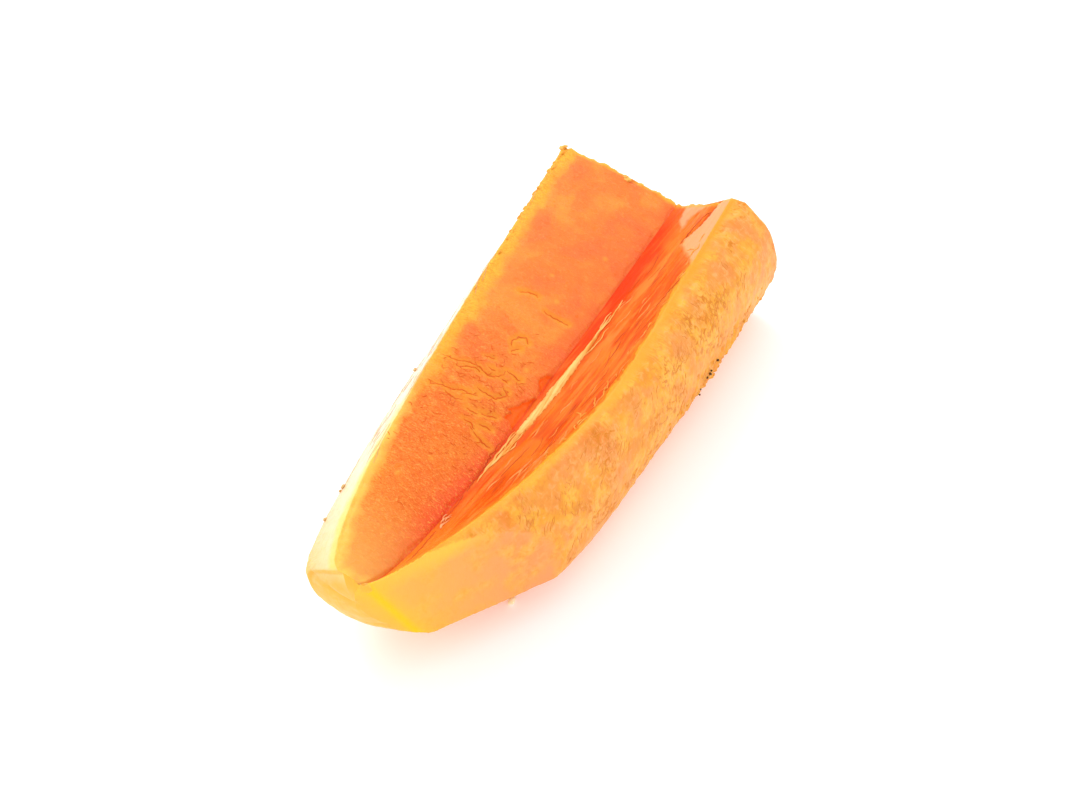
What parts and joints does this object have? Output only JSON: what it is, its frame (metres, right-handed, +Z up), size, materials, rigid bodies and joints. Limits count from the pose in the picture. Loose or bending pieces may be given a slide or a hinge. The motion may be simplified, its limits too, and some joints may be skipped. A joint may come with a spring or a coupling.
{
  "type": "sliced papaya",
  "caption": "Long peeled wedge of ripe papaya with a flat cut face, a hollow seed cavity wall along a groove, a tapered nose and a flat far cut",
  "frame": {"origin": "middle of the underside's bounding box, on the surface the wedge lies on", "axes": "+X points from the tapered nose to the flat far cut, along the length; +Y points to the wide cut face's rim, left as seen from the nose; +Z is up"},
  "size_m": [0.1978, 0.085, 0.0486],
  "materials": {
    "papaya_flesh": "wet ripe papaya flesh, orange on the cut face, redder at the seed cavity, yellow under the peeled skin"
  },
  "bodies": {
    "root": {"papaya_wedge": "papaya_flesh"}
  },
  "joints": []
}
